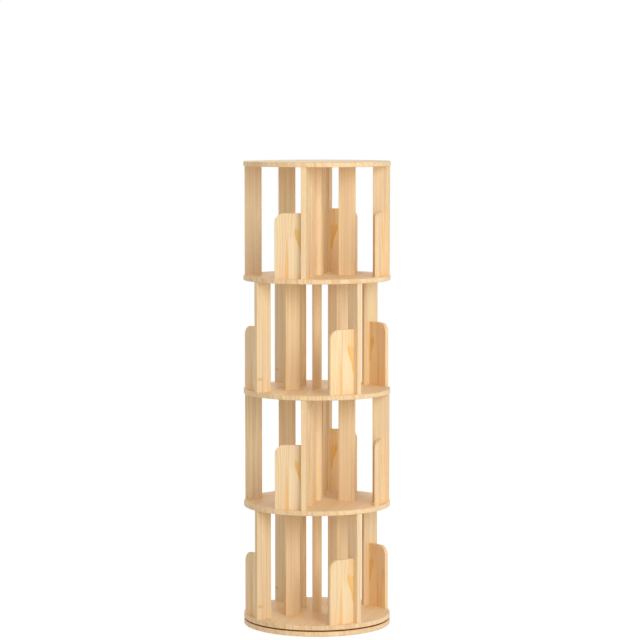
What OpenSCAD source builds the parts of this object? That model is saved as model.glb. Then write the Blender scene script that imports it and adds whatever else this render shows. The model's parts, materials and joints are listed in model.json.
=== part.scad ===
// Revolving bookcase: round pine shelves on arms of slats, turning as one on a ball bearing sunk into the base.
// Millimetres, Z up. The origin is on the floor, under the centre of the base.
// Tiers are counted from the bottom. Arms are counted clockwise, seen from above.

/* [Discs] */
// Diameter of the base, the shelves and the top
disc_d = 460; // [420:5:560]
// Thickness of the base, the shelves and the top
disc_t = 15; // [13:0.5:22]
// Rounding of the rim edges of a disc
disc_ease = 2; // [0.5:0.5:4]

/* [Tiers] */
// Tiers of book space
tiers = 4; // [2:1:4]
// Clear height of a tier
tier_h = 340; // [280:5:400]
// Arms of slats in a tier
arms = 4; // [3:1:5]

/* [Slats] */
// Width of a slat, along its arm
slat_w = 52; // [44:1:60]
// Thickness of a slat
slat_t = 15; // [13:0.5:22]
// Distance from the rim of a disc to the outer slat
slat_inset = 0.5; // [0.5:0.5:10]
// Clear gap between the outer and the inner slat of an arm
arm_gap = 56; // [40:1:75]
// Rounding of the long edges of a slat
slat_ease = 2; // [0.5:0.5:4]

/* [Bookends] */
// Length of a bookend, out from its slat
bookend_l = 86; // [60:1:90]
// Height of a bookend above its shelf
bookend_h = 200; // [150:5:260]
// Thickness of a bookend
bookend_t = 12; // [10:0.5:16]
// Radius of the outer top corner of a bookend
bookend_r = 30; // [10:1:45]
// Rounding of the free edges of a bookend
bookend_ease = 2; // [0.5:0.5:3.5]

/* [Centre posts] */
// Diameter of a post
post_d = 30; // [24:1:40]
// Diameter of the studs between two posts
stud_d = 8; // [6:1:10]
// Depth of a stud in a post
stud_seat = 20; // [12:1:40]

/* [Turntable bearing] */
// Height of the gap in which the case turns above the base
turn_gap = 4; // [2:0.5:5]
// Height of the bearing
bearing_h = 9; // [9:0.5:12]
// Height by which one ring stands back from the face of the other
ring_step = 1; // [0.5:0.25:1.5]
// Width of a ring
ring_w = 16; // [14:0.5:18]
// Gap between the two rings
ring_gap = 2; // [1.5:0.25:2.5]
// Diameter of a ball
ball_d = 6; // [5:0.25:6]
// Balls in the bearing
balls = 30; // [16:1:40]
// Play between a ball and its groove or pocket
ball_play = 0.25; // [0.1:0.05:0.3]
// Thickness of the cage
cage_t = 1; // [0.6:0.1:1.2]
// Space above and below the cage
cage_space = 0.7; // [0.5:0.1:1]
// Space around the bearing in its recesses
recess_space = 1; // [0.5:0.25:2]
// Screws in each ring
ring_screws = 6; // [4:1:8]
// Depth of the base screws in the outer ring
base_screw_bite = 6; // [4:0.5:7]
// Depth of the ring screws in the lowest shelf
shelf_screw_bite = 7; // [5:0.5:8]

/* [Foot pads] */
// Pads under the base
pads = 6; // [4:1:10]
// Diameter of a pad
pad_d = 30; // [20:1:40]
// Thickness of a pad
pad_t = 2; // [1:0.5:5]
// Distance from the rim of the base to a pad
pad_inset = 15; // [5:1:40]

/* [Screws and dowels] */
// Shank diameter of a screw
screw_d = 4; // [3:0.25:5]
// Head diameter of a screw
screw_head_d = 8; // [6.5:0.25:9]
// Depth of a screw in the slat, bookend or post that it holds
screw_bite = 30; // [20:1:45]
// Diameter of a dowel
dowel_d = 6; // [5:0.5:8]
// Depth of a dowel in the disc, or in the slat beside a bookend
dowel_seat = 10; // [7:0.5:11]
// Depth of a dowel in the end of a slat, or in the edge of a bookend
dowel_bite = 20; // [12:1:30]
// Distance between the screw and the dowel in the end of a slat
fix_spread = 24; // [18:1:28]
// Distance from a bookend's free edge to its screw
bookend_screw_in = 25; // [15:1:40]
// Distance of a bookend's dowels from its bottom and its top
bookend_dowel_in = 50; // [45:1:65]
// Play around a screw, a dowel or a stud
fix_play = 0.2; // [0.1:0.05:0.3]
// Free depth beyond the tip of a screw, a dowel or a stud
tip_space = 1; // [0.5:0.25:1.5]

/* [Hidden] */
$fn = 64;
face_cut = 1;

pine = [0.93, 0.79, 0.61];
pale_pine = [0.97, 0.84, 0.66];
beech = [0.86, 0.71, 0.53];
zinc = [0.75, 0.76, 0.77];
aluminium = [0.80, 0.81, 0.83];
ball_steel = [0.62, 0.64, 0.67];
nylon = [0.93, 0.92, 0.88];
rubber = [0.12, 0.12, 0.13];

disc_r = disc_d / 2;
arm_step = 360 / arms;

outer_slat_u = disc_r - slat_inset - slat_w / 2;
inner_slat_u = outer_slat_u - slat_w - arm_gap;
bookend_screw_v = slat_t / 2 + bookend_l - bookend_screw_in;

base_top = pad_t + disc_t;
shelf_bottom = base_top + turn_gap;
tier_pitch = tier_h + disc_t;

recess_depth = (bearing_h - turn_gap) / 2;
bearing_z = base_top - recess_depth;
ring_h = bearing_h - ring_step;
// The recess of the bearing starts at the rim side of the inner slats, clear of the screws under them
inner_ring_bore = inner_slat_u + slat_w / 2 + recess_space;
inner_ring_r = inner_ring_bore + ring_w;
outer_ring_bore = inner_ring_r + ring_gap;
outer_ring_r = outer_ring_bore + ring_w;
ball_circle = inner_ring_r + ring_gap / 2;
groove_r = ball_d / 2 + ball_play;
// The ring screws stand midway between the ball groove and the far wall of their ring
inner_screw_circle = (inner_ring_bore + ball_circle - groove_r) / 2;
outer_screw_circle = (outer_ring_r + ball_circle + groove_r) / 2;

// Height of the underside of a disc of the case, the lowest shelf being the first
function disc_z(i) = shelf_bottom + (i - 1) * tier_pitch;

// Height of the floor of a tier
function tier_z(t) = disc_z(t) + disc_t;

// Every second tier is turned by half a step, so that the screws from above and from below miss each other
function tier_turn(t) = t % 2 == 1 ? arm_step / 2 : 0;

// Direction of an arm: the first arm of a straight tier points to -Y
function arm_angle(t, a) = -90 - tier_turn(t) - (a - 1) * arm_step;

// Half outline of a countersunk screw, from its head face down to its tip, or of its hole when play is given
function screw_outline(l, play) =
    let (shank_r = screw_d / 2 + play, head_r = screw_head_d / 2 + play, cone_h = head_r - shank_r)
    [[0, 0], [head_r, 0], [shank_r, cone_h], [shank_r, l - shank_r], [0, l]];

function shelf_name(i) = i > tiers ? "top_disc" : str("shelf_", i);
function post_name(t) = str("tier_", t, "_post");
function inner_slats_name(t) = str("tier_", t, "_inner_slats");
function outer_slat_name(t, a) = str("tier_", t, "_outer_slat_", a);
function bookend_name(t, a) = str("tier_", t, "_bookend_", a);

// Places

module at_arm(t, a) {
    rotate([0, 0, arm_angle(t, a)]) translate([0, 0, tier_z(t)]) children();
}

module around(count, radius, z) {
    for (i = [1:count]) rotate([0, 0, i * 360 / count]) translate([radius, 0, z]) children();
}

// Both ends of a slat that stands at u on its arm: children start at the slat's end and point into it
module at_slat_bottom(t, a, u) {
    at_arm(t, a) translate([u, 0, 0]) children();
}

module at_slat_top(t, a, u) {
    at_arm(t, a) translate([u, 0, tier_h]) mirror([0, 0, 1]) children();
}

// The bottom edge of a bookend, where its screw comes up
module at_bookend_screw(t, a) {
    at_arm(t, a) translate([outer_slat_u, -bookend_screw_v, 0]) children();
}

// The joint face between a bookend and its slat, at its two dowels: children point into the bookend
module at_bookend_dowels(t, a) {
    for (z = [bookend_dowel_in, bookend_h - bookend_dowel_in])
        at_arm(t, a) translate([outer_slat_u, -slat_t / 2, z]) rotate([90, 0, 0]) children();
}

// Shapes that repeat

// A flat strip from the origin out to length l along X, with the two corners at its end rounded
module eased_strip(l, t, ease) {
    translate([0, -t / 2]) square([l - ease, t]);
    translate([0, ease - t / 2]) square([l, t - 2 * ease]);
    for (side = [-1, 1]) translate([l - ease, side * (t / 2 - ease)]) circle(ease);
}

module round_board() {
    rotate_extrude($fn = 180) translate([0, disc_t / 2]) eased_strip(disc_r, disc_t, disc_ease);
}

module slat_blank() {
    linear_extrude(tier_h)
        for (side = [0, 180]) rotate(side) eased_strip(slat_w / 2, slat_t, slat_ease);
}

module screw(l) {
    rotate_extrude() polygon(screw_outline(l, 0));
}

module screw_hole(l) {
    rotate_extrude() polygon(screw_outline(l + tip_space, fix_play));
    translate([0, 0, -face_cut]) cylinder(r = screw_head_d / 2 + fix_play, h = face_cut);
}

// A screw or its hole through a disc into the piece behind it: the origin is the face between the two
module through_disc() {
    translate([0, 0, -disc_t]) children();
}

module dowel() {
    translate([0, 0, -dowel_seat]) cylinder(d = dowel_d, h = dowel_seat + dowel_bite);
}

module dowel_hole() {
    translate([0, 0, -dowel_seat - tip_space])
        cylinder(r = dowel_d / 2 + fix_play, h = dowel_seat + dowel_bite + 2 * tip_space);
}

module slat_end_holes() {
    translate([fix_spread / 2, 0, 0]) through_disc() screw_hole(disc_t + screw_bite);
    translate([-fix_spread / 2, 0, 0]) dowel_hole();
}

module slat_holes(t, a, u) {
    at_slat_bottom(t, a, u) slat_end_holes();
    at_slat_top(t, a, u) slat_end_holes();
}

// What is drilled into a disc for the tier that stands on it
module holes_for_tier_above(t) {
    for (a = [1:arms]) {
        for (u = [outer_slat_u, inner_slat_u]) at_slat_bottom(t, a, u) slat_end_holes();
        at_bookend_screw(t, a) through_disc() screw_hole(disc_t + screw_bite);
    }
}

// What is drilled into a disc for the tier that it covers
module holes_for_tier_below(t) {
    for (a = [1:arms], u = [outer_slat_u, inner_slat_u]) at_slat_top(t, a, u) slat_end_holes();
}

module stud_hole(z) {
    translate([0, 0, z - stud_seat - tip_space])
        cylinder(r = stud_d / 2 + fix_play, h = disc_t + 2 * (stud_seat + tip_space));
}

// The screws that close the row of posts: children point into the lowest and the highest post
module at_bottom_post() {
    translate([0, 0, tier_z(1)]) children();
}

module at_top_post() {
    translate([0, 0, disc_z(tiers + 1)]) mirror([0, 0, 1]) children();
}

module post_end_holes() {
    at_bottom_post() through_disc() screw_hole(disc_t + screw_bite);
    at_top_post() through_disc() screw_hole(disc_t + screw_bite);
}

// The recess that a disc has for the bearing, open at its mouth
module bearing_recess(z) {
    translate([0, 0, z])
        rotate_extrude($fn = 128)
            translate([inner_ring_bore - recess_space, 0])
                square([outer_ring_r - inner_ring_bore + 2 * recess_space, recess_depth + face_cut]);
}

// A ring of the bearing with its ball groove
module grooved_ring(bore_r, z) {
    rotate_extrude($fn = 128)
        difference() {
            translate([bore_r, z]) square([ring_w, ring_h]);
            translate([ball_circle, bearing_z + bearing_h / 2]) circle(groove_r);
        }
}

// Base

module at_base_screws() {
    around(ring_screws, outer_screw_circle, pad_t) children();
}

module base_screw_hole() {
    screw_hole(disc_t - recess_depth + base_screw_bite);
}

module base_disc() {
    color(pine)
        difference() {
            translate([0, 0, pad_t]) round_board();
            bearing_recess(bearing_z);
            at_base_screws() base_screw_hole();
        }
}

module foot_pads() {
    color(rubber) around(pads, disc_r - pad_inset - pad_d / 2, 0) cylinder(d = pad_d, h = pad_t);
}

// Turntable bearing

module bearing_outer_ring() {
    color(aluminium)
        difference() {
            grooved_ring(outer_ring_bore, bearing_z);
            at_base_screws() base_screw_hole();
        }
}

module at_shelf_screws() {
    around(ring_screws, inner_screw_circle, bearing_z + ring_step) children();
}

module shelf_screw_hole() {
    screw_hole(ring_h + shelf_screw_bite);
}

module bearing_inner_ring() {
    color(aluminium)
        difference() {
            grooved_ring(inner_ring_bore, bearing_z + ring_step);
            at_shelf_screws() shelf_screw_hole();
        }
}

module at_balls() {
    around(balls, ball_circle, bearing_z + bearing_h / 2) children();
}

module bearing_balls() {
    color(ball_steel) at_balls() sphere(d = ball_d);
}

module bearing_cage() {
    color(nylon)
        difference() {
            rotate_extrude($fn = 128)
                translate([ball_circle - cage_t / 2, bearing_z + cage_space])
                    square([cage_t, bearing_h - 2 * cage_space]);
            at_balls() rotate([0, 90, 0]) cylinder(r = ball_d / 2 + ball_play, h = ball_d, center = true);
        }
}

module bearing_base_screws() {
    color(zinc) at_base_screws() screw(disc_t - recess_depth + base_screw_bite);
}

module bearing_shelf_screws() {
    color(zinc) at_shelf_screws() screw(ring_h + shelf_screw_bite);
}

// Case

// A disc of the case: the first one lies on the bearing, the last one is the top
module shelf(i) {
    color(pine)
        difference() {
            translate([0, 0, disc_z(i)]) round_board();
            if (i <= tiers) holes_for_tier_above(i);
            if (i > 1) holes_for_tier_below(i - 1);
            if (i > 1 && i <= tiers) stud_hole(disc_z(i));
            else post_end_holes();
            if (i == 1) {
                bearing_recess(shelf_bottom - face_cut);
                at_shelf_screws() shelf_screw_hole();
            }
        }
}

module post(t) {
    color(pine)
        difference() {
            translate([0, 0, tier_z(t)]) cylinder(d = post_d, h = tier_h);
            for (i = [2:tiers]) stud_hole(disc_z(i));
            post_end_holes();
        }
}

module post_studs() {
    color(zinc)
        for (i = [2:tiers])
            translate([0, 0, disc_z(i) - stud_seat]) cylinder(d = stud_d, h = disc_t + 2 * stud_seat);
}

module post_end_screws() {
    color(zinc) {
        at_bottom_post() through_disc() screw(disc_t + screw_bite);
        at_top_post() through_disc() screw(disc_t + screw_bite);
    }
}

module inner_slats(t) {
    color(pine)
        for (a = [1:arms])
            difference() {
                at_arm(t, a) translate([inner_slat_u, 0, 0]) slat_blank();
                slat_holes(t, a, inner_slat_u);
            }
}

module outer_slat(t, a) {
    color(pine)
        difference() {
            at_arm(t, a) translate([outer_slat_u, 0, 0]) slat_blank();
            slat_holes(t, a, outer_slat_u);
            at_bookend_dowels(t, a) dowel_hole();
        }
}

// A bookend standing on the origin, out along X: an eased edge runs up its free side, round the corner and back
module bookend_blank() {
    corner_x = bookend_l - bookend_r;
    corner_z = bookend_h - bookend_r;
    linear_extrude(corner_z) eased_strip(bookend_l, bookend_t, bookend_ease);
    translate([0, 0, corner_z])
        rotate([90, 0, 90])
            linear_extrude(corner_x)
                rotate(90) eased_strip(bookend_r, bookend_t, bookend_ease);
    translate([corner_x, 0, corner_z])
        rotate([90, 0, 0])
            rotate_extrude(angle = 90) eased_strip(bookend_r, bookend_t, bookend_ease);
}

module bookend(t, a) {
    color(pale_pine)
        difference() {
            at_arm(t, a) translate([outer_slat_u, -slat_t / 2, 0]) rotate([0, 0, -90]) bookend_blank();
            at_bookend_dowels(t, a) dowel_hole();
            at_bookend_screw(t, a) through_disc() screw_hole(disc_t + screw_bite);
        }
}

module slat_screws() {
    color(zinc)
        for (t = [1:tiers], a = [1:arms], u = [outer_slat_u, inner_slat_u]) {
            at_slat_bottom(t, a, u + fix_spread / 2) through_disc() screw(disc_t + screw_bite);
            at_slat_top(t, a, u + fix_spread / 2) through_disc() screw(disc_t + screw_bite);
        }
}

module slat_dowels() {
    color(beech)
        for (t = [1:tiers], a = [1:arms], u = [outer_slat_u, inner_slat_u]) {
            at_slat_bottom(t, a, u - fix_spread / 2) dowel();
            at_slat_top(t, a, u - fix_spread / 2) dowel();
        }
}

module bookend_screws() {
    color(zinc)
        for (t = [1:tiers], a = [1:arms]) at_bookend_screw(t, a) through_disc() screw(disc_t + screw_bite);
}

module bookend_dowels() {
    color(beech)
        for (t = [1:tiers], a = [1:arms]) at_bookend_dowels(t, a) dowel();
}

base_disc();
foot_pads();
bearing_outer_ring();
bearing_inner_ring();
bearing_cage();
bearing_balls();
bearing_base_screws();
bearing_shelf_screws();
post_studs();
post_end_screws();
slat_screws();
slat_dowels();
bookend_screws();
bookend_dowels();
for (i = [1:tiers + 1]) shelf(i);
for (t = [1:tiers]) {
    post(t);
    inner_slats(t);
    for (a = [1:arms]) {
        outer_slat(t, a);
        bookend(t, a);
    }
}
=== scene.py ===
"""Looks of a revolving bookcase in pale pine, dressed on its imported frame.

Objects are in metres. Wood grain and the forms of fasteners and pads are worked out in millimetres.
Tiers and discs are counted from the lowest, from 0.
"""

import json
import math

import bmesh
import bpy
from mathutils import Matrix, Vector


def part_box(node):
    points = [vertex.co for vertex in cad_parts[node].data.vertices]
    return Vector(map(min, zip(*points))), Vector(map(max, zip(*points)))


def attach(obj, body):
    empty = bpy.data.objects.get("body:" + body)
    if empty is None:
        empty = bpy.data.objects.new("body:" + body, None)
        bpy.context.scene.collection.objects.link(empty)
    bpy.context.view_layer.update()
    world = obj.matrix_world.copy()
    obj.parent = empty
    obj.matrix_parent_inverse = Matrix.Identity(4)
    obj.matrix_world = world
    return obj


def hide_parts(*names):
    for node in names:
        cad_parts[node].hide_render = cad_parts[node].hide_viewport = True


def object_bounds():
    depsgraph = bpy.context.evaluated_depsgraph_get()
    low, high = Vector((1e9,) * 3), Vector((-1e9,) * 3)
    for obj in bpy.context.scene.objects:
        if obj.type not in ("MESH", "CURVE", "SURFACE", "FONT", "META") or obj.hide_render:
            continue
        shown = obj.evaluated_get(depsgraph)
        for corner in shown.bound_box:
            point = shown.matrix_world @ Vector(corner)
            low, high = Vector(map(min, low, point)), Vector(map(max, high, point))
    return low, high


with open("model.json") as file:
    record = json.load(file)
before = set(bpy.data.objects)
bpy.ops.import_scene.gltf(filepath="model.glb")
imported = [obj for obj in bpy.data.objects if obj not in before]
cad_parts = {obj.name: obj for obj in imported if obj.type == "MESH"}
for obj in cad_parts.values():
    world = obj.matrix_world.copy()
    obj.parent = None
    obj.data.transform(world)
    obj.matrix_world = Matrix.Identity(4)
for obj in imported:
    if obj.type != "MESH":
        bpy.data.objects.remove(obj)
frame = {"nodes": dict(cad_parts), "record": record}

cad_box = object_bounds()

# Sizes of the frame, in millimetres

MM = 1000.0
shelf_low, shelf_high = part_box("shelf_1")
second_low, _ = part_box("shelf_2")
base_low, base_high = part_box("base_disc")
top_low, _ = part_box("top_disc")
slat_low, slat_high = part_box("tier_2_outer_slat_1")
_, inner_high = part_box("tier_2_inner_slats")
end_low, end_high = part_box("tier_2_bookend_1")

DISC_T = (shelf_high.z - shelf_low.z) * MM
BASE_MID = (base_low.z + base_high.z) / 2 * MM
SHELF_MID = (shelf_low.z + shelf_high.z) / 2 * MM
TIER_PITCH = (second_low.z - shelf_low.z) * MM
TIER_FLOOR = shelf_high.z * MM
TIER_CLEAR = TIER_PITCH - DISC_T
SLAT_W = (slat_high.y - slat_low.y) * MM
SLAT_T = (slat_high.x - slat_low.x) * MM
OUTER_SLAT_MID = -(slat_high.y + slat_low.y) / 2 * MM
INNER_SLAT_MID = inner_high.x * MM - SLAT_W / 2
BOOKEND_MID = -(end_high.y + end_low.y) / 2 * MM
BOOKEND_L = (end_high.x - end_low.x) * MM

ARMS = 4
QUARTER = math.radians(90)
HALF_STEP = math.radians(45)


def tone(red, green, blue):
    """A colour as it is seen on a screen, 0 to 255, turned into the shader's own scale."""
    shares = [channel / 255 for channel in (red, green, blue)]
    return tuple(s / 12.92 if s < 0.0404 else ((s + 0.055) / 1.055) ** 2.4 for s in shares)


# Shader maths


def operator(operation):
    """A Python operator, forward and reflected, that adds a node of that operation."""

    def forward(self, other):
        return self.reckon(operation, self, other)

    def reflected(self, other):
        return self.reckon(operation, other, self)

    return forward, reflected


def function(operation):
    """A method that adds a node of that operation on the value alone."""

    def applied(self):
        return self.reckon(operation, self)

    return applied


class Signal:
    """A socket's value.

    Operators add a Math node to its shader, or a Vector Math node for vectors and colours.
    """

    __add__, __radd__ = operator("ADD")
    __sub__, __rsub__ = operator("SUBTRACT")
    __mul__, __rmul__ = operator("MULTIPLY")
    __truediv__, __rtruediv__ = operator("DIVIDE")
    __mod__, __rmod__ = operator("FLOORED_MODULO")
    __lt__, __gt__ = operator("LESS_THAN")
    floor = function("FLOOR")
    fraction = function("FRACT")
    size = function("ABSOLUTE")
    sine = function("SINE")
    cosine = function("COSINE")

    def __init__(self, shader, socket):
        self.shader = shader
        self.socket = socket

    def reckon(self, operation, *terms):
        kind = "Math" if self.socket.type == "VALUE" else "VectorMath"
        return self.shader.node(kind, {"operation": operation}, dict(enumerate(terms)))

    def length(self):
        """The length of a vector."""
        measured = self.reckon("LENGTH", self)
        return Signal(self.shader, measured.socket.node.outputs["Value"])

    def between(self, low, high):
        """A value from low to high, in step with one from 0 to 1."""
        return low + self * (high - low)

    def rise(self, low, high):
        """0 up to low and 1 from high on, with a smooth step between."""
        sockets = {"Value": self, "From Min": low, "From Max": high}
        return self.shader.node("MapRange", {"interpolation_type": "SMOOTHSTEP"}, sockets)

    def fall(self, low, high):
        """1 up to low and 0 from high on, with a smooth step between."""
        return 1 - self.rise(low, high)


def pick(sockets, name):
    """A socket by its number, identifier or name."""
    if isinstance(name, int):
        return sockets[name]
    return next(s for s in sockets if name in (s.identifier, s.name) and s.enabled)


class Shader:
    """A node tree that is written from scratch. node() adds any node to it."""

    def __init__(self, tree):
        self.tree = tree
        tree.nodes.clear()

    def node(self, kind, settings=(), sockets=(), output=0):
        made = self.tree.nodes.new("ShaderNode" + kind)
        for name, value in dict(settings).items():
            setattr(made, name, value)
        for name, value in dict(sockets).items():
            self.feed(pick(made.inputs, name), value)
        return Signal(self, pick(made.outputs, output)) if made.outputs else made

    def feed(self, socket, value):
        if isinstance(value, Signal):
            self.tree.links.new(value.socket, socket)
        elif socket.type == "RGBA":
            socket.default_value = (*value, 1.0)
        elif socket.type == "VECTOR" and isinstance(value, (int, float)):
            socket.default_value = (value, value, value)
        else:
            socket.default_value = value

    def split(self, vector):
        apart = self.node("SeparateXYZ", (), {0: vector}).socket.node
        return [Signal(self, socket) for socket in apart.outputs]

    def join(self, x, y, z):
        return self.node("CombineXYZ", (), {0: x, 1: y, 2: z})

    def turn(self, vector, angle):
        """A vector turned round the Z axis."""
        return self.node("VectorRotate", {"rotation_type": "Z_AXIS"}, {"Vector": vector, "Angle": angle})

    def mix(self, share, first, second):
        sockets = {"Factor_Float": share, "A_Color": first, "B_Color": second}
        return self.node("Mix", {"data_type": "RGBA"}, sockets, "Result_Color")

    def noise(self, place, lengths, shift=0.0, detail=2.0):
        """Smooth noise from 0 to 1, whose blobs measure about lengths along the three axes of place."""
        return self.node("TexNoise", (), {"Vector": place / lengths + shift, "Scale": 1.0, "Detail": detail})

    def chance(self, *numbers):
        """A vector of three random numbers from 0 to 1 that belongs to three whole numbers."""
        place = self.join(*numbers)
        return self.node("TexWhiteNoise", {"noise_dimensions": "3D"}, {"Vector": place}, "Color")

    def object_place(self):
        """The place on the part at rest, in millimetres."""
        return self.node("TexCoord", (), (), "Object") * (MM, MM, MM)


BUMP_STRENGTH = 0.5


class Finish(Shader):
    """A material of one Principled shader. plain holds values of its sockets that are the same all over."""

    def __init__(self, name, plain=()):
        self.material = bpy.data.materials.new(name)
        self.material.use_nodes = True
        super().__init__(self.material.node_tree)
        surface = self.node("BsdfPrincipled", (), plain)
        self.body = surface.socket.node
        self.node("OutputMaterial", (), {"Surface": surface})

    def paint(self, colour, roughness, height, depth):
        """Colour, roughness and a relief of that depth in metres."""
        self.feed(self.body.inputs["Base Color"], colour)
        self.feed(self.body.inputs["Roughness"], roughness)
        relief = self.node("Bump", (), {"Height": height, "Strength": BUMP_STRENGTH, "Distance": depth})
        self.feed(self.body.inputs["Normal"], relief)
        return self.material


# Pine. Places and sizes are in millimetres: across, through and along a board.

STRAW = tone(251, 224, 173)
PEACH = tone(250, 216, 174)
LATE_WOOD = tone(228, 181, 120)
RESIN = tone(196, 142, 84)
GLUE_LINE = tone(190, 140, 84)

# How far off the trunk's heart lies, and at which angles from square to the board
HEART = (26.0, 72.0)
FLAT_CUT = (math.radians(-30), math.radians(30))
RIFT_CUT = (math.radians(52), math.radians(88))
MIXED_CUT = (math.radians(-80), math.radians(80))

# The width of a year's ring, where in it the late wood starts and ends, and how dark that is
YEAR = (2.55, 4.25)
LATE_STARTS = (0.25, 0.88)
LATE_ENDS = (0.92, 1.0)
LATE_SHARE = (0.14, 0.54)

# How the rings stray along a board, and the finer marks between them
TAPER = 0.012
SWAY = 7.0
SWAY_SIZE = (70.0, 70.0, 230.0)
FLUTTER = 1.6
FLUTTER_SIZE = (14.0, 14.0, 70.0)
FIBRE_SIZE = (0.7, 0.7, 22.0)
STREAK_SIZE = (5.0, 5.0, 170.0)
CLOUD_SIZE = (13.0, 13.0, 210.0)
CLOUD_EDGE = (0.3, 0.7)
RESIN_SIZE = (0.45, 0.45, 9.0)
RESIN_EDGE = (0.72, 0.8)
RESIN_SHARE = 0.35
DARKEST = 0.9
GRAIN_SHADE = 0.1

# How far apart the noises of different boards, and the noises within one board, are taken
BOARD_SHIFT = (900.0, 700.0, 800.0)
YEAR_SHIFT = 50.0
CLOUD_SHIFT = 3.0
RESIN_SHIFT = 7.0

MATT_LACQUER = {"Specular IOR Level": 0.2}
LACQUER_ROUGHNESS = (0.46, 0.62)
LATE_GLOSS = 0.06
LATE_PROUD = 0.6
RELIEF = 0.00004
GLUE_EDGE = (0.1, 0.35)
GLUE_SHARE = 0.4


def solid_pine(wood, across, through, along, board, cut):
    """Colour, share of late wood and fibre of a board, at a place from its middle.

    The board is cut from a trunk whose heart lies to one side of it, at an angle within the two of cut.
    board holds the board's three random numbers.
    """
    first, second, third = wood.split(board)
    place = wood.join(across, through, along)
    shift = board * BOARD_SHIFT

    angle = second.between(*cut)
    reach = first.between(*HEART)
    side = (third < 0.5) * 2 - 1
    off_across = across * side - reach * angle.sine()
    off_through = through * side + reach * angle.cosine()
    radius = wood.join(off_across, off_through, 0.0).length()
    sway = wood.noise(place, SWAY_SIZE, shift, detail=1.0) * SWAY
    flutter = wood.noise(place, FLUTTER_SIZE, shift, detail=1.0) * FLUTTER
    years = (radius + along * TAPER + sway + flutter) / third.between(*YEAR)
    step = years.fraction()
    year = years.floor() + first * YEAR_SHIFT
    weight = wood.node("TexWhiteNoise", {"noise_dimensions": "1D"}, {"W": year})
    late = step.rise(*LATE_STARTS) * step.fall(*LATE_ENDS) * weight.between(*LATE_SHARE)

    fibre = wood.noise(place, FIBRE_SIZE, shift)
    streak = wood.noise(place, STREAK_SIZE, shift)
    cloud = wood.noise(place, CLOUD_SIZE, shift + CLOUD_SHIFT, detail=1.0)
    resin = wood.noise(place, RESIN_SIZE, shift + RESIN_SHIFT, detail=0.0)
    colour = wood.mix(cloud.rise(*CLOUD_EDGE), STRAW, PEACH)
    colour = wood.mix(late, colour, LATE_WOOD)
    colour = wood.mix(resin.rise(*RESIN_EDGE) * RESIN_SHARE, colour, RESIN)
    return colour * (DARKEST + (fibre + streak) * GRAIN_SHADE), late, fibre


def glued(wood, colour, off_seam):
    """The colour with a glue line, at a distance from the seam between two boards."""
    return wood.mix(off_seam.fall(*GLUE_EDGE) * GLUE_SHARE, colour, GLUE_LINE)


def lacquered(wood, colour, late, fibre):
    """A matt lacquer on wood whose late wood is smoother and stands proud."""
    roughness = fibre.between(*LACQUER_ROUGHNESS) - late * LATE_GLOSS
    return wood.paint(colour, roughness, fibre * (1 - LATE_PROUD) + late * LATE_PROUD, RELIEF)


def tier_at(z):
    """The number of the tier at a height."""
    return ((z - (TIER_FLOOR - DISC_T / 2)) / TIER_PITCH).floor()


def arm_place(wood):
    """A place in the frame of its own arm: out from the axis, sideways and up from the tier's floor.

    The numbers of its tier and its arm come with it. Even tiers are turned by half a step.
    """
    place = wood.object_place()
    x, y, z = wood.split(place)
    tier = tier_at(z)
    turn = (1 - tier % 2) * HALF_STEP
    heading = x.reckon("ARCTAN2", y, x) + turn
    arm = (heading / QUARTER + 0.5).floor()
    out, side, up = wood.split(wood.turn(place, turn - arm * QUARTER))
    return out, side, up - TIER_FLOOR - tier * TIER_PITCH, tier, arm % ARMS


SLAT_SHADE = (0.93, 0.95, 0.98)
SLAT_EDGE_SHADE = (0.985, 0.975, 0.94)
SLAT_EDGE = (SLAT_W / 2 - 2.0, SLAT_W / 2 - 0.5)
BAND = tone(227, 192, 142)
BAND_SIZE = (7.0, 7.0, 600.0)
BAND_EDGE = (0.46, 0.68)
BAND_SHARE = 0.5
BAND_SHIFT = 500.0
KNOT = tone(224, 174, 82)
KNOT_OUT = 15.0
KNOT_UP = 40.0
KNOT_L = 18.0
KNOT_H = 8.0
KNOT_EDGE = (0.3, 1.0)
KNOT_SHARE = 0.5


def slat_pine():
    """Straight-grained boards with warm bands and edges.

    The outer slats of turned tiers have a pale knot near the foot of their outer edge, on the face away
    from the bookend.
    """
    wood = Finish("slat_pine", MATT_LACQUER)
    out, side, up, tier, arm = arm_place(wood)
    inner = out < (OUTER_SLAT_MID + INNER_SLAT_MID) / 2
    across = out - OUTER_SLAT_MID + inner * (OUTER_SLAT_MID - INNER_SLAT_MID)
    board = wood.chance(tier, arm, inner)
    colour, late, fibre = solid_pine(wood, across, side, up - TIER_CLEAR / 2, board, RIFT_CUT)
    band = wood.noise(wood.join(across, side, up), BAND_SIZE, board * BAND_SHIFT, detail=1.0)
    colour = wood.mix(band.rise(*BAND_EDGE) * BAND_SHARE, colour, BAND)
    off_knot = wood.join((across - KNOT_OUT) / KNOT_L, (up - KNOT_UP) / KNOT_H, 0.0).length()
    edge = across.size().rise(*SLAT_EDGE)
    knot = off_knot.fall(*KNOT_EDGE) * (1 - edge) * (0 < side) * (1 - inner) * (1 - tier % 2)
    colour = wood.mix(knot * KNOT_SHARE, colour, KNOT)
    shade = wood.mix(edge, SLAT_SHADE, SLAT_EDGE_SHADE)
    return lacquered(wood, colour * shade, late, fibre)


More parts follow.
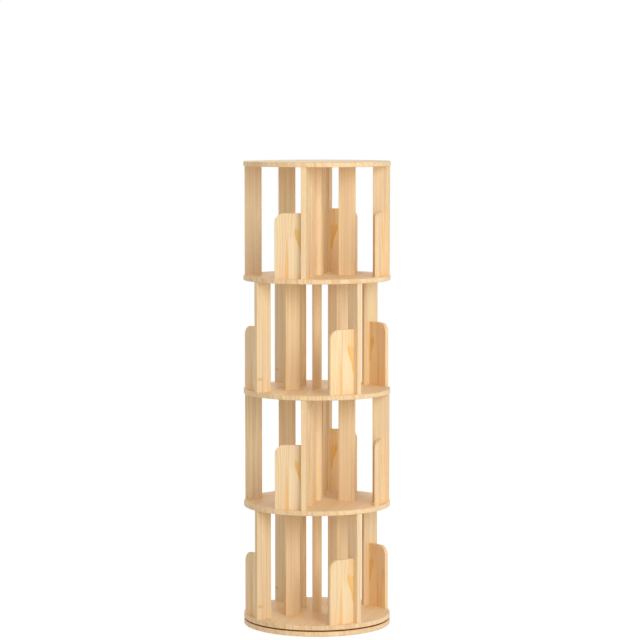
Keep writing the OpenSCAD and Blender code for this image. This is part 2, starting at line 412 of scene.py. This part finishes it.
# Bookends are measured from the slat to their free end, and up from the tier's floor
BOOKEND_BOARDS = 5.0
SEAM = 42.0
WAVER = 4.0
WAVER_SIZE = (8.0, 30.0, 34.0)
FEATHER_SIZE = (1.6, 6.0, 60.0)
FEATHER_SIDE = 6.0
FEATHER_TOP = 28.0
FLAME = tone(242, 186, 84)
FLAME_FOOT = 50.0
FLAME_WAIST = 90.0
FLAME_SHOULDER = 140.0
FLAME_TOP = 156.0
FLAME_CROWN = 14.0
FLAME_TAIL_W = 9.0
FLAME_W = 24.0
FLAME_LEAN = 7.0
FLAME_EDGE = (-1.0, 3.0)
FLAME_LEAN_EDGE = (-2.0, 2.0)
FLAME_DEEP = (2.0, 14.0)
FLAME_SHARE = (0.8, 0.55)
PLUME_EDGE = (12.0, 22.0)
PLUME_SHARE = 0.16
HALO = tone(255, 229, 184)
HALO_FADE = (105.0, 150.0)
HALO_WAVER = 3.0
HALO_SHARE = 0.5
STRIPE = tone(246, 190, 122)
STRIPE_W = 14.0
STRIPE_EDGE = (SEAM + STRIPE_W / 3, SEAM + STRIPE_W)
STRIPE_TOP = 160.0
STRIPE_FADE = (STRIPE_TOP / 3, STRIPE_TOP)
STRIPE_SHARE = 0.8
FOOT_FADE = (0.0, 95.0)
FOOT_SHARE = (0.1, 0.22)


def flame(free, up, waver, feather):
    """Share of a dark flame: a tail that widens upwards into a head, with a leaning and feathered crown."""
    tail = up.rise(FLAME_FOOT, FLAME_WAIST) * FLAME_TAIL_W
    head = up.rise(FLAME_WAIST, FLAME_SHOULDER) * (FLAME_W - FLAME_TAIL_W)
    depth = tail + head + waver + feather * FEATHER_SIDE - free
    lean = free - up.rise(FLAME_SHOULDER, FLAME_TOP) * FLAME_LEAN
    crown = (up + waver + feather * FEATHER_TOP).fall(FLAME_TOP - FLAME_CROWN, FLAME_TOP)
    inside = depth.rise(*FLAME_EDGE) * lean.rise(*FLAME_LEAN_EDGE) * crown
    return inside * depth.rise(*FLAME_DEEP).between(*FLAME_SHARE)


def bookend_pine():
    """Two upright boards.

    The one beside the slat has a dark flame that tapers downwards, with a faint plume above it and paler
    wood below it. A warm stripe runs up the seam.
    """
    wood = Finish("bookend_pine", MATT_LACQUER)
    out, side, up, tier, arm = arm_place(wood)
    free = -1 * side - SLAT_T / 2
    outer = SEAM < free
    inner = 1 - outer
    across = free - SEAM / 2 - outer * (BOOKEND_L / 2)
    board = wood.chance(tier, arm, outer + BOOKEND_BOARDS)
    colour, late, fibre = solid_pine(wood, across, out - BOOKEND_MID, up, board, FLAT_CUT)

    place = wood.join(free, out, up)
    waver = (wood.noise(place, WAVER_SIZE) - 0.5) * WAVER
    feather = wood.noise(place, FEATHER_SIZE) - 0.5
    halo = inner * (up + waver * HALO_WAVER).fall(*HALO_FADE)
    colour = wood.mix(halo * HALO_SHARE, colour, HALO)
    colour = wood.mix(inner * flame(free, up, waver, feather), colour, FLAME)
    off_plume = free + feather * FEATHER_SIDE
    plume = off_plume.fall(*PLUME_EDGE) * up.rise(FLAME_SHOULDER, FLAME_TOP)
    colour = wood.mix(plume * PLUME_SHARE, colour, FLAME)
    off_stripe = free + waver + feather * FEATHER_SIDE
    stripe = outer * off_stripe.fall(*STRIPE_EDGE) * up.fall(*STRIPE_FADE)
    colour = wood.mix(stripe * STRIPE_SHARE, colour, STRIPE)
    colour = wood.mix(up.fall(*FOOT_FADE) * outer.between(*FOOT_SHARE), colour, STRIPE)
    colour = glued(wood, colour, (free - SEAM).size())
    return lacquered(wood, colour, late, fibre)


BASE_BOARDS = 6.0
SHELF_BOARDS = 2.0
LAMELLA_W = 41.0
LAMELLA_SHADE = (0.95, 1.05)
LAMELLA_WARMTH = 0.25
LAMELLA_SHIFT = 7.0
DISC_GRAIN_ANGLE = math.radians(4)
END_GRAIN_FACING = (0.25, 0.8)
END_GRAIN_LATE = 0.9
STRIP_SIZE = (8.0, 8.0, 1.0)
STRIP_SLANT = 0.3
STRIP_EDGE = (0.44, 0.64)
STRIP_SHARE = 0.65
STRIP_SHIFT = 60.0
STRIP_STEP = 9.0
# Painted shade: a dark brown on the base's top, which shows only through the turning gap and makes that gap
# read as a shadow line
GAP_PAINTED_SHADE = tone(190, 98, 32)
GAP_PAINTED_SHADE_SHARE = 0.9
FLAT_FACING = (0.9, 0.99)


def disc_pine(name, first_mid, boards, painted_shade=0.0):
    """Lamellae glued into a board, which a disc is cut from. Its grain runs from front to back.

    first_mid is the height of the lowest such disc's middle. painted_shade is the share of painted shade on
    its top: a dark brown that makes the turning gap above it read as a shadow line.
    """
    wood = Finish(name, MATT_LACQUER)
    across, along, z = wood.split(wood.turn(wood.object_place(), DISC_GRAIN_ANGLE))
    disc = ((z - first_mid) / TIER_PITCH + 0.5).floor()
    through = z - first_mid - disc * TIER_PITCH
    lamella = (across / LAMELLA_W).floor()
    inside = across - (lamella + 0.5) * LAMELLA_W
    board = wood.chance(lamella, disc, boards)
    colour, late, fibre = solid_pine(wood, inside, through, along, board, MIXED_CUT)

    normal = wood.node("TexCoord", (), (), "Normal")
    _, facing_end, facing_up = wood.split(wood.turn(normal, DISC_GRAIN_ANGLE))
    end_grain = facing_end.size().rise(*END_GRAIN_FACING)
    colour = wood.mix(late * end_grain * END_GRAIN_LATE, colour, LATE_WOOD)
    along_rim = wood.join(inside + through * STRIP_SLANT, 0.0, lamella * STRIP_STEP)
    strip = wood.noise(along_rim, STRIP_SIZE, board * STRIP_SHIFT)
    colour = wood.mix(strip.rise(*STRIP_EDGE) * end_grain * STRIP_SHARE, colour, LATE_WOOD)
    shade, warmth, _ = wood.split(wood.chance(lamella, disc, boards + LAMELLA_SHIFT))
    colour = wood.mix(warmth * LAMELLA_WARMTH, colour * shade.between(*LAMELLA_SHADE), PEACH)
    colour = glued(wood, colour, LAMELLA_W / 2 - inside.size())
    # Painted shade on the faces that look up, which on the base show only inside the turning gap
    colour = wood.mix(facing_up.rise(*FLAT_FACING) * painted_shade, colour, GAP_PAINTED_SHADE)
    return lacquered(wood, colour, late, fibre)


POST_BOARDS = (11.0, 4.0)


def post_pine():
    wood = Finish("post_pine", MATT_LACQUER)
    x, y, z = wood.split(wood.object_place())
    board = wood.chance(tier_at(z), *POST_BOARDS)
    return lacquered(wood, *solid_pine(wood, x, y, z, board, MIXED_CUT))


# Other finishes

METAL = {"Metallic": 1.0}

BEECH = (tone(222, 186, 142), tone(206, 164, 116))
BEECH_CLOUD_SIZE = (6.0, 6.0, 30.0)
BEECH_ROUGHNESS = (0.6, 0.7)
FLECK = tone(164, 116, 76)
FLECK_SIZE = (0.5, 0.5, 3.0)
FLECK_EDGE = (0.58, 0.7)
FLECK_SHARE = 0.5
FLECK_RELIEF = 0.00005


def beech_dowel():
    wood = Finish("beech_dowel")
    place = wood.object_place()
    fleck = wood.noise(place, FLECK_SIZE).rise(*FLECK_EDGE)
    cloud = wood.noise(place, BEECH_CLOUD_SIZE)
    colour = wood.mix(fleck * FLECK_SHARE, wood.mix(cloud, *BEECH), FLECK)
    return wood.paint(colour, cloud.between(*BEECH_ROUGHNESS), fleck, FLECK_RELIEF)


ALUMINIUM = (tone(212, 214, 218), tone(232, 233, 235))
TURNING_PER_MM = (4.0, 3.0)
TURNED_ROUGHNESS = (0.26, 0.4)
TURNED_RELIEF = 0.00002


def bearing_ring():
    """Turned aluminium: fine rings round the axis."""
    metal = Finish("bearing_ring", METAL)
    x, y, z = metal.split(metal.object_place())
    radius = metal.join(x, y, 0.0).length()
    marks = radius * TURNING_PER_MM[0] + z * TURNING_PER_MM[1]
    turning = metal.node("TexNoise", {"noise_dimensions": "1D"}, {"W": marks, "Scale": 1.0})
    colour = metal.mix(turning, *ALUMINIUM)
    return metal.paint(colour, turning.between(*TURNED_ROUGHNESS), turning, TURNED_RELIEF)


RUBBER = (tone(38, 38, 40), tone(52, 51, 50))
DUST_SIZE = (9.0, 9.0, 9.0)
RUBBER_GRAIN_SIZE = (0.8, 0.8, 0.8)
RUBBER_ROUGHNESS = (0.7, 0.9)
RUBBER_RELIEF = 0.0001


def pad_rubber():
    rubber = Finish("pad_rubber")
    place = rubber.object_place()
    grain = rubber.noise(place, RUBBER_GRAIN_SIZE, detail=3.0)
    dust = rubber.noise(place, DUST_SIZE)
    colour = rubber.mix(dust, *RUBBER)
    return rubber.paint(colour, grain.between(*RUBBER_ROUGHNESS), grain, RUBBER_RELIEF)


def clouded(name, blot, detail, colours, roughness, relief, plain=()):
    """A finish whose colour, roughness and relief follow soft blots of that size."""
    finish = Finish(name, plain)
    cloud = finish.noise(finish.object_place(), (blot, blot, blot), detail=detail)
    return finish.paint(finish.mix(cloud, *colours), cloud.between(*roughness), cloud, relief)


ZINC = {
    "blot": 2.5,
    "detail": 4.0,
    "colours": (tone(205, 208, 214), tone(226, 222, 206)),
    "roughness": (0.28, 0.44),
    "relief": 0.00002,
    "plain": METAL,
}
STEEL = {
    "blot": 1.2,
    "detail": 3.0,
    "colours": (tone(214, 216, 220), tone(228, 230, 233)),
    "roughness": (0.06, 0.14),
    "relief": 0.000005,
    "plain": METAL,
}
NYLON = {
    "blot": 5.0,
    "detail": 3.0,
    "colours": (tone(240, 237, 226), tone(232, 228, 214)),
    "roughness": (0.42, 0.54),
    "relief": 0.00003,
}

finishes = {
    "base_board": disc_pine("base_board", BASE_MID, BASE_BOARDS, GAP_PAINTED_SHADE_SHARE),
    "shelf_board": disc_pine("shelf_board", SHELF_MID, SHELF_BOARDS),
    "slat_pine": slat_pine(),
    "bookend_pine": bookend_pine(),
    "post_pine": post_pine(),
    "beech_dowel": beech_dowel(),
    "zinc_screw": clouded("zinc_screw", **ZINC),
    "bearing_ring": bearing_ring(),
    "ball_steel": clouded("ball_steel", **STEEL),
    "cage_nylon": clouded("cage_nylon", **NYLON),
    "pad_rubber": pad_rubber(),
}
slots = {subpart["node"]: subpart["material_slot"] for subpart in frame["record"]["subparts"]}
bodies = {node: body for body, nodes in frame["record"]["behaviour"]["bodies"].items() for node in nodes}
for node, slot in slots.items():
    for material_slot in frame["nodes"][node].material_slots:
        material_slot.material = finishes[slot]

# Screws, studs, dowels and pads, which stand for the plain ones of the frame. Their forms are in millimetres.

ROUND = 24
THREAD_ROUND = 12
THREAD_ROWS = 4
THREAD_CREST = 0.1
THREAD_FLANK = 0.2
RECESS_REACH = 1.9
RECESS_HALF_W = RECESS_REACH * math.tan(2 * math.pi / ROUND)
RECESS_DEPTH = 1.7
RECESS_TAPER = 0.45
HEAD_H = 2.0
HEAD_WIDER = 1.1
SHANK_R = 1.6
SHANK_SHARE = 0.35
SCREW_ROOT_R = 1.3
SCREW_CREST_R = 2.0
SCREW_PITCH = 2.2
SCREW_TIP_H = 4.5
SCREW_TIP_R = 0.15
STUD_PITCH = 1.25
STUD_GROOVE = 0.75
DOWEL_CHAMFER = 1.2
DOWEL_END_SHARE = 0.72
DOWEL_FLUTE = 0.3
PAD_ROUND = 48
PAD_BEVEL = 0.6
SHARP_EDGE = math.radians(35)
WELD = 0.00001
TINY = 0.000001


def ring(radii, z):
    """Points round the axis at a height, one for each radius."""
    step = 2 * math.pi / len(radii)
    return [Vector((r * math.cos(i * step), r * math.sin(i * step), z)) for i, r in enumerate(radii)]


def cross_recess(share):
    """Radii of a cross, at a share of its full size."""
    radii = []
    for i in range(ROUND):
        fold = abs((i * 2 * math.pi / ROUND + HALF_STEP) % QUARTER - HALF_STEP)
        side = RECESS_HALF_W / max(math.sin(fold), TINY)
        radii.append(share * min(RECESS_REACH / math.cos(fold), side))
    return radii


def thread(root, crest, pitch, z):
    """Radii of a right-hand thread with a flat crest, at a height."""
    radii = []
    for i in range(THREAD_ROUND):
        off_crest = abs((z / pitch - i / THREAD_ROUND) % 1 - 0.5)
        rise = (THREAD_CREST + THREAD_FLANK - off_crest) / THREAD_FLANK
        radii.append(root + (crest - root) * min(1.0, max(0.0, rise)))
    return radii


def screw(length, head_r):
    """A countersunk screw with a cross recess, from the recess's floor to the tip."""
    rings = [
        ring(cross_recess(RECESS_TAPER), -RECESS_DEPTH),
        ring(cross_recess(1.0), 0.0),
        ring([head_r] * ROUND, 0.0),
        ring([SHANK_R] * THREAD_ROUND, -HEAD_H),
    ]
    start = HEAD_H + SHANK_SHARE * (length - HEAD_H)
    step = SCREW_PITCH / THREAD_ROWS
    for row in range(int((length - start) / step)):
        depth = start + row * step
        slim = min(1.0, (length - depth) / SCREW_TIP_H)
        radii = thread(SCREW_ROOT_R, SCREW_CREST_R, SCREW_PITCH, -depth)
        rings.append(ring([slim * radius for radius in radii], -depth))
    return rings + [ring([SCREW_TIP_R] * THREAD_ROUND, -length)]


def stud(length, crest_r):
    """A rod that is threaded from end to end."""
    root_r = crest_r - STUD_GROOVE
    end = [root_r] * THREAD_ROUND
    step = STUD_PITCH / THREAD_ROWS
    depths = [row * step for row in range(1, int(length / step))]
    turns = [ring(thread(root_r, crest_r, STUD_PITCH, -depth), -depth) for depth in depths]
    return [ring(end, 0.0), *turns, ring(end, -length)]


def dowel(length, radius):
    """A fluted dowel with chamfered ends."""
    end = [radius * DOWEL_END_SHARE] * ROUND
    flutes = [radius - DOWEL_FLUTE * (i % 2) for i in range(ROUND)]
    middle = [ring(flutes, -DOWEL_CHAMFER), ring(flutes, DOWEL_CHAMFER - length)]
    return [ring(end, 0.0), *middle, ring(end, -length)]


def pad(height, radius):
    """A round pad, glued on its flat top, with a bevelled foot."""
    full = [radius] * PAD_ROUND
    foot = [radius - PAD_BEVEL] * PAD_ROUND
    return [ring(full, 0.0), ring(full, PAD_BEVEL - height), ring(foot, -height)]


def solids(node):
    """The corners of each separate solid of a node."""
    mesh = bmesh.new()
    mesh.from_mesh(frame["nodes"][node].data)
    bmesh.ops.remove_doubles(mesh, verts=mesh.verts, dist=WELD)
    found = []
    for first in mesh.verts:
        if first.tag:
            continue
        first.tag = True
        grown = [first]
        for corner in grown:
            fresh = [n for n in (edge.other_vert(corner) for edge in corner.link_edges) if not n.tag]
            for neighbour in fresh:
                neighbour.tag = True
            grown += fresh
        found.append([corner.co.copy() for corner in grown])
    mesh.free()
    return found


def stance(corners, lying):
    """Place, length and radius of a round solid.

    Its wider or upper end is at the origin, and -Z runs along it.
    """
    low, high = [Vector([end(values) for values in zip(*corners)]) for end in (min, max)]
    middle = (low + high) / 2
    offsets = [corner - middle for corner in corners]
    if lying:
        heading = round(math.atan2(middle.y, middle.x) / HALF_STEP) * HALF_STEP
        turn = Matrix.Rotation(heading, 3, "Z") @ Matrix.Rotation(QUARTER, 3, "X")
    else:
        below, above = [max(o.xy.length for o in offsets if (o.z < 0) == under) for under in (True, False)]
        turn = Matrix.Rotation(math.pi if below > above * HEAD_WIDER else 0.0, 3, "X")
    axis = turn @ Vector((0.0, 0.0, -1.0))
    half = max(o.dot(axis) for o in offsets)
    radius = max(o.cross(axis).length for o in offsets)
    place = Matrix.Translation(middle - axis * half) @ turn.to_4x4() @ Matrix.Scale(1 / MM, 4)
    return place, 2 * half * MM, radius * MM


def skin(rings, start):
    """Faces of a closed form through rings whose points are counted from start.

    A ring may have half as many points as the one before it.
    """
    faces = [list(range(start, start + len(rings[0])))]
    for upper, lower in zip(rings, rings[1:]):
        step = len(upper) // len(lower)
        below = start + len(upper)
        for i in range(len(lower)):
            over = [start + (step * i + j) % len(upper) for j in range(step, -1, -1)]
            faces.append(over + [below + i, below + (i + 1) % len(lower)])
        start = below
    faces.append(list(range(start + len(rings[-1]) - 1, start - 1, -1)))
    return faces


def shape(node, look, form, lying=False):
    """Puts a piece of that form in the place of each solid of a node."""
    points, faces = [], []
    for corners in solids(node):
        place, length, radius = stance(corners, lying)
        rings = form(length, radius)
        faces += skin(rings, len(points))
        points += [place @ point for each in rings for point in each]
    mesh = bpy.data.meshes.new(f"{look}_{node}")
    mesh.from_pydata(points, [], faces)
    mesh.shade_smooth()
    mesh.set_sharp_from_angle(angle=SHARP_EDGE)
    mesh.materials.append(finishes[slots[node]])
    piece = bpy.data.objects.new(mesh.name, mesh)
    bpy.context.scene.collection.objects.link(piece)
    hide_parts(node)
    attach(piece, bodies[node])


for held in ("slat", "bookend", "bearing_base", "bearing_shelf", "post_end"):
    shape(f"{held}_screws", "threaded", screw)
shape("post_studs", "threaded", stud)
shape("slat_dowels", "fluted", dowel)
shape("bookend_dowels", "fluted", dowel, lying=True)
shape("foot_pads", "bevelled", pad)

# Floor, surroundings and lights, in metres

WHITE = (1.0, 1.0, 1.0)
AMBIENT_COLOUR = (0.98, 1.0, 1.05)
HORIZON_LIGHT = 0.71
ZENITH_LIGHT = 0.43
FLOOR_SPAN = 80.0
FLOOR_MATT = 0.92
FLOOR_GLOW = 0.75
FLOOR_LIGHT = (HORIZON_LIGHT + 2 * ZENITH_LIGHT) / 3
# Strength at which the floor, far from the part, is as white as the world behind it
GLOW_STRENGTH = (1 - (1 - FLOOR_GLOW) * FLOOR_MATT * FLOOR_LIGHT) / FLOOR_GLOW
SEEN_RAYS = ("Is Camera Ray", "Is Glossy Ray", "Is Transmission Ray")
LAMP_SIZE = 3.2
LAMP_REACH = 5.0
LAMP_ELEVATION = math.radians(20)
KEY_AZIMUTH = math.radians(38)
KEY_POWER = 111.0
FILL_AZIMUTH = math.radians(205)
FILL_POWER = 30.0


def seen_directly(shader):
    """1 for rays of the camera, of reflections and of glass, and 0 for light that falls on things."""
    rays = shader.node("LightPath").socket.node
    camera, glossy, through = [Signal(shader, rays.outputs[name]) for name in SEEN_RAYS]
    return camera.reckon("MINIMUM", camera + glossy + through, 1.0)


def pale_floor():
    """Matt and lit as things are, with a glow that makes it white to look at and leaves the shadow on it."""
    half = FLOOR_SPAN / 2
    mesh = bpy.data.meshes.new("floor")
    corners = [(-half, -half, 0.0), (half, -half, 0.0), (half, half, 0.0), (-half, half, 0.0)]
    mesh.from_pydata(corners, [], [(0, 1, 2, 3)])
    floor = bpy.data.objects.new("floor", mesh)
    bpy.context.scene.collection.objects.link(floor)
    material = bpy.data.materials.new("floor")
    material.use_nodes = True
    mesh.materials.append(material)
    shader = Shader(material.node_tree)
    matt = shader.node("BsdfDiffuse", (), {"Color": (FLOOR_MATT, FLOOR_MATT, FLOOR_MATT)})
    glow = shader.node("Emission", (), {"Color": WHITE, "Strength": GLOW_STRENGTH})
    surface = shader.node("MixShader", (), {0: seen_directly(shader) * FLOOR_GLOW, 1: matt, 2: glow})
    shader.node("OutputMaterial", (), {"Surface": surface})


def white_world():
    """White to look at. The light that it gives dims from the horizon to the zenith."""
    world = bpy.data.worlds.new("white_room")
    bpy.context.scene.world = world
    world.use_nodes = True
    shader = Shader(world.node_tree)
    _, _, up = shader.split(shader.node("TexCoord", (), (), "Generated"))
    horizon = shader.node("Background", (), {"Color": AMBIENT_COLOUR, "Strength": HORIZON_LIGHT})
    zenith = shader.node("Background", (), {"Color": AMBIENT_COLOUR, "Strength": ZENITH_LIGHT})
    ambient = shader.node("MixShader", (), {0: up, 1: horizon, 2: zenith})
    white = shader.node("Background", (), {"Color": WHITE, "Strength": 1.0})
    surface = shader.node("MixShader", (), {0: seen_directly(shader), 1: ambient, 2: white})
    shader.node("OutputWorld", (), {"Surface": surface})


def outward(azimuth, elevation=0.0):
    """The direction from the part to a place round it. Azimuth 0 is the front, and 90 degrees the right."""
    level = math.cos(elevation)
    return Vector((math.sin(azimuth) * level, -math.cos(azimuth) * level, math.sin(elevation)))


def soft_light(name, azimuth, power):
    """A round lamp that faces the middle of the part."""
    lamp = bpy.data.lights.new(name, "AREA")
    lamp.shape = "DISK"
    lamp.size = LAMP_SIZE
    lamp.energy = power
    light = bpy.data.objects.new(name, lamp)
    bpy.context.scene.collection.objects.link(light)
    back = outward(azimuth, LAMP_ELEVATION)
    light.location = (cad_box[0] + cad_box[1]) / 2 + back * LAMP_REACH
    light.rotation_mode = "QUATERNION"
    light.rotation_quaternion = (-back).to_track_quat("-Z", "Y")


pale_floor()
white_world()
soft_light("key", KEY_AZIMUTH, KEY_POWER)
soft_light("fill", FILL_AZIMUTH, FILL_POWER)

# Camera of the photograph, which stands a little higher than the underside of the top disc

CAMERA_AZIMUTH = math.radians(10.52)
CAMERA_REACH = 7.7
CAMERA_RISE = 0.1598
CAMERA_PITCH = math.radians(4.764)
CAMERA_YAW = 0.00123
CAMERA_LENS = 138.84
CAMERA_SIGHT = 200.0


def photo_camera():
    lens = bpy.data.cameras.new("camera")
    lens.lens = CAMERA_LENS
    lens.clip_end = CAMERA_SIGHT
    camera = bpy.data.objects.new("camera", lens)
    bpy.context.scene.collection.objects.link(camera)
    camera.location = outward(CAMERA_AZIMUTH) * CAMERA_REACH + Vector((0.0, 0.0, top_low.z + CAMERA_RISE))
    camera.rotation_euler = (QUARTER - CAMERA_PITCH, 0.0, CAMERA_AZIMUTH - CAMERA_YAW)
    bpy.context.scene.camera = camera


photo_camera()
bpy.context.scene.view_settings.view_transform = "Standard"
